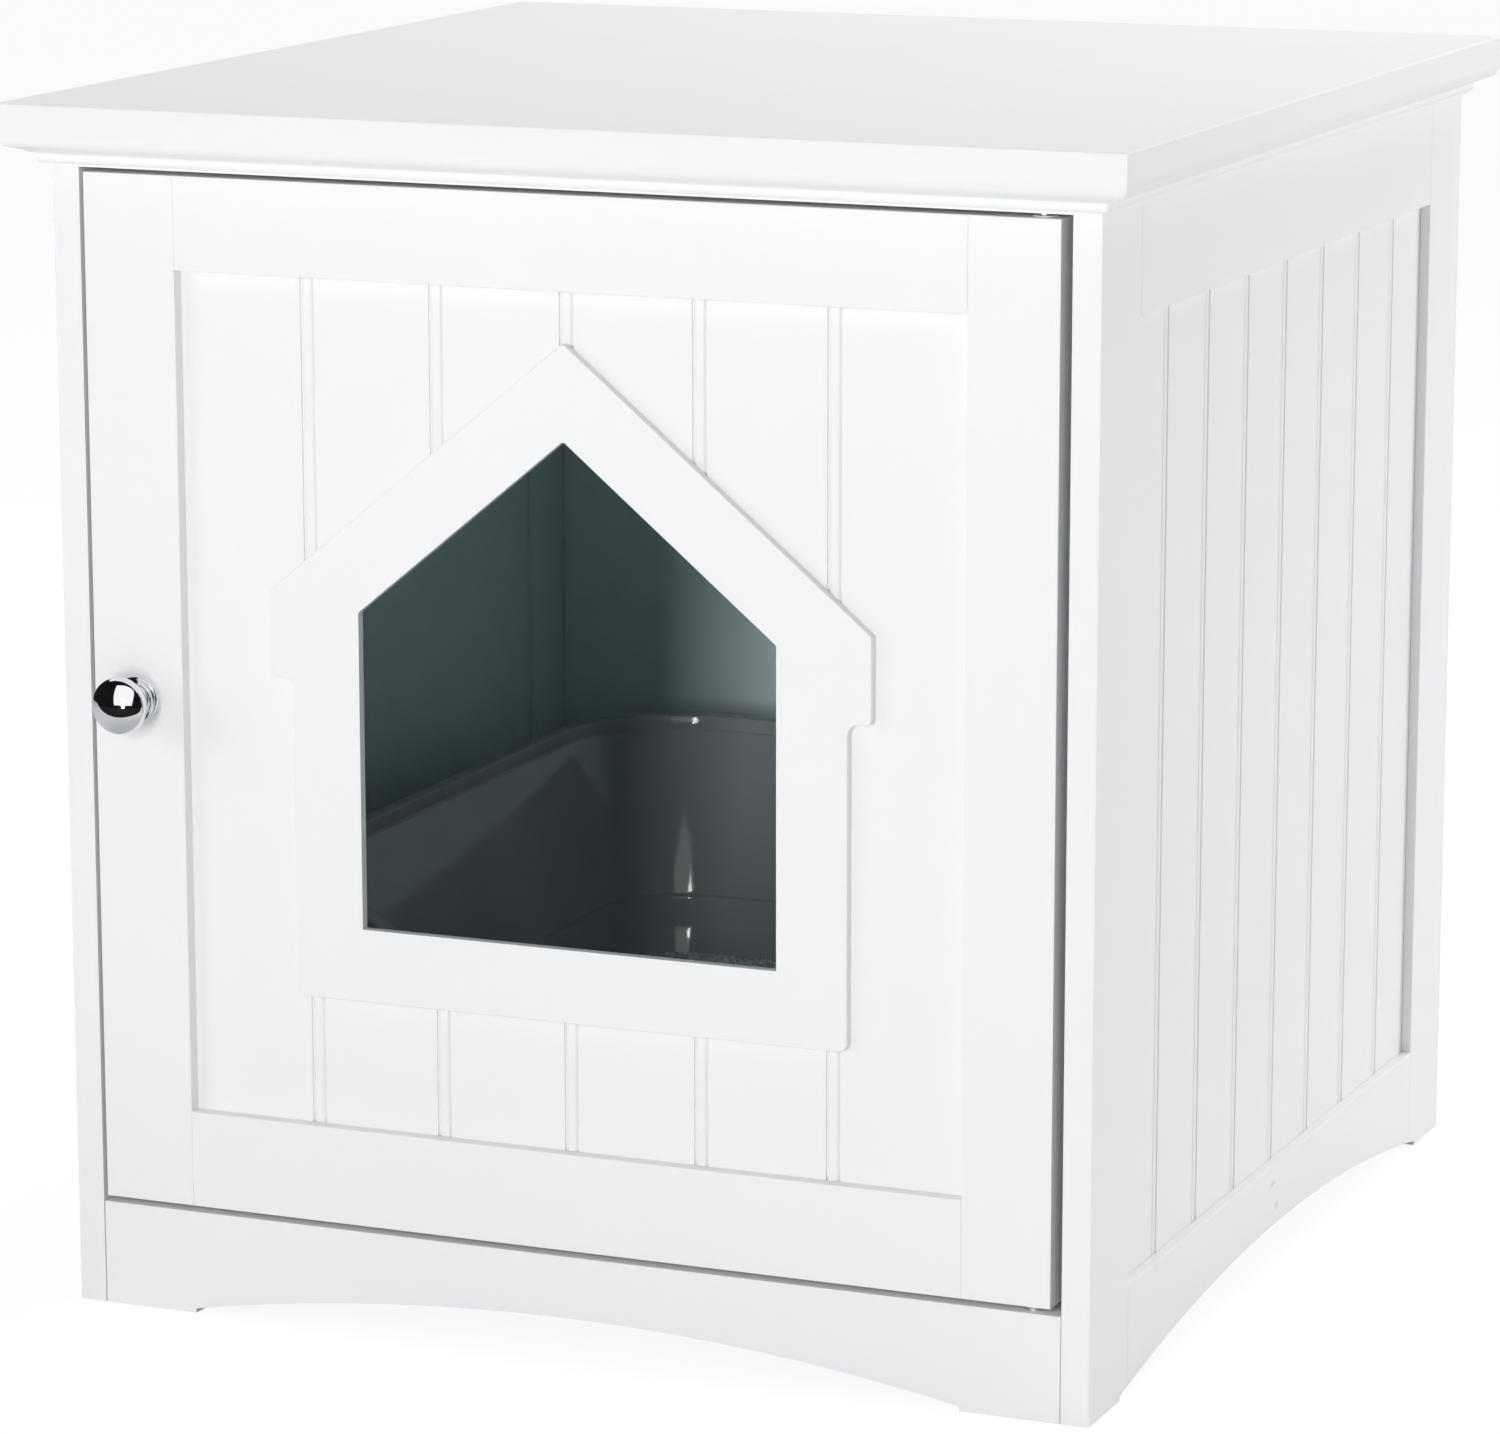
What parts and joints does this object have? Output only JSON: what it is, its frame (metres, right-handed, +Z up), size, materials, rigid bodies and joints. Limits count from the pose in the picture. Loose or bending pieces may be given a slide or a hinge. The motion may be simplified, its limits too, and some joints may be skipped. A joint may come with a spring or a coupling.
{
  "type": "cat litter box cabinet",
  "caption": "Square painted cabinet that hides a litter pan: overhanging moulded top, beaded sides, and a hinged door with a house-shaped entrance for a cat.",
  "frame": {"origin": "On the floor, in the middle of the object's whole outline seen from above, knob included.", "axes": "+X to the object's right seen from in front of the door, +Y from the door to the back, +Z up."},
  "size_m": [0.486, 0.515, 0.509],
  "materials": {
    "white_paint": "satin white lacquer on fibreboard",
    "bare_wood": "bare softwood",
    "foot_plastic": "matte off-white plastic",
    "zinc_steel": "zinc-plated steel",
    "chrome": "polished chrome",
    "catch_plastic": "matte white plastic",
    "magnet": "dark ferrite",
    "nylon": "natural nylon",
    "pan_plastic": "mid grey moulded plastic, half gloss",
    "litter": "pale dry litter granules"
  },
  "bodies": {
    "cabinet": {"back_panel": "white_paint", "cam_bolts": "zinc_steel", "cam_locks": "zinc_steel", "catch_case": "catch_plastic", "catch_magnet": "magnet", "catch_pole_plates": "zinc_steel", "catch_screws": "zinc_steel", "cleat_screws": "zinc_steel", "floor_panel": "white_paint", "floor_screws": "zinc_steel", "foot_pads": "foot_plastic", "front_apron": "white_paint", "left_beadboard": "white_paint", "left_bottom_rail": "white_paint", "left_floor_cleat": "bare_wood", "left_front_stile": "white_paint", "left_rear_stile": "white_paint", "left_top_rail": "white_paint", "lower_pivot_pin": "zinc_steel", "right_beadboard": "white_paint", "right_bottom_rail": "white_paint", "right_floor_cleat": "bare_wood", "right_front_stile": "white_paint", "right_rear_stile": "white_paint", "right_top_rail": "white_paint", "top_board": "white_paint", "upper_pivot_pin": "zinc_steel", "wooden_dowels": "bare_wood"},
    "door": {"door_latch_stile": "white_paint", "door_hinge_stile": "white_paint", "door_top_rail": "white_paint", "door_bottom_rail": "white_paint", "door_beadboard": "white_paint", "house_plate": "white_paint", "knob": "chrome", "knob_rosette": "chrome", "knob_screw": "zinc_steel", "strike_plate": "zinc_steel", "strike_screw": "zinc_steel", "lower_pivot_bush": "nylon", "upper_pivot_bush": "nylon"},
    "litter_pan": {"litter_pan": "pan_plastic", "litter_bed": "litter"}
  },
  "joints": [
    {"name": "door_hinge", "type": "hinge", "parent": "cabinet", "child": "door", "pos_m": [0.2012, -0.2255, 0.045], "axis": [0, 0, 1], "range_deg": [0, 110]},
    {"name": "pan_slide", "type": "slide", "parent": "cabinet", "child": "litter_pan", "axis": [0, 1, 0], "range_m": [-0.018, 0.036]}
  ]
}
